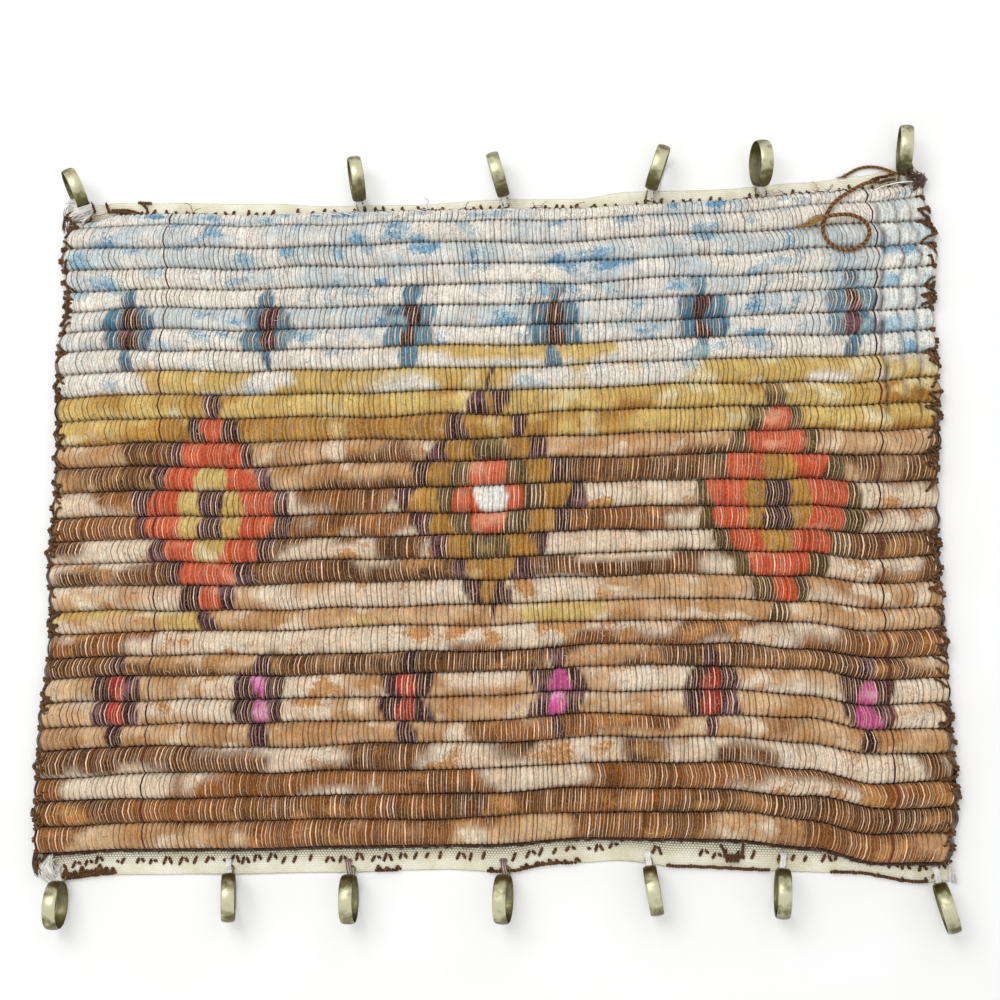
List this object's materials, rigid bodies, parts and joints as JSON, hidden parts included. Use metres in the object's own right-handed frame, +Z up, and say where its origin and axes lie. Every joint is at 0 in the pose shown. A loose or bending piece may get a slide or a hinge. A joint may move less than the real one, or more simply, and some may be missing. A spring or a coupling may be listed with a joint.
{
  "type": "woven wool tapestry with curtain rings",
  "caption": "Thick ribbed wool hanging lying flat, with mottled bands and stepped diamonds, a cotton tape along both long edges and flat curtain rings sewn to the tapes by wire eyelets.",
  "frame": {"origin": "on the surface that the hanging lies on, under the middle of everything but the loose yarn ends", "axes": "+X to the right along the ribs, +Y towards the top edge with its rings, +Z up out of the face"},
  "size_m": [0.7808, 0.6751, 0.0409],
  "materials": {
    "wool": "soft wool roving woven in thick ribs, mottled cream, blue, ochre, terracotta and brown",
    "heading_tape": "unbleached cotton twill",
    "ring_metal": "satin, lightly tarnished, faintly yellow",
    "eyelet_wire": "satin, tarnished",
    "yarn": "two-ply wool yarn, dark reddish brown"
  },
  "bodies": {
    "root": {"tapestry_cloth": "wool", "tape_top": "heading_tape", "tape_bottom": "heading_tape", "ring_top_1": "ring_metal", "ring_top_2": "ring_metal", "ring_top_3": "ring_metal", "ring_top_4": "ring_metal", "ring_top_5": "ring_metal", "ring_top_6": "ring_metal", "ring_bottom_1": "ring_metal", "ring_bottom_2": "ring_metal", "ring_bottom_3": "ring_metal", "ring_bottom_4": "ring_metal", "ring_bottom_5": "ring_metal", "ring_bottom_6": "ring_metal", "ring_bottom_7": "ring_metal", "eyelet_top_1": "eyelet_wire", "eyelet_top_2": "eyelet_wire", "eyelet_top_3": "eyelet_wire", "eyelet_top_4": "eyelet_wire", "eyelet_top_5": "eyelet_wire", "eyelet_top_6": "eyelet_wire", "eyelet_bottom_1": "eyelet_wire", "eyelet_bottom_2": "eyelet_wire", "eyelet_bottom_3": "eyelet_wire", "eyelet_bottom_4": "eyelet_wire", "eyelet_bottom_5": "eyelet_wire", "eyelet_bottom_6": "eyelet_wire", "eyelet_bottom_7": "eyelet_wire", "yarn_tail_long": "yarn", "yarn_tail_short": "yarn"}
  },
  "joints": []
}
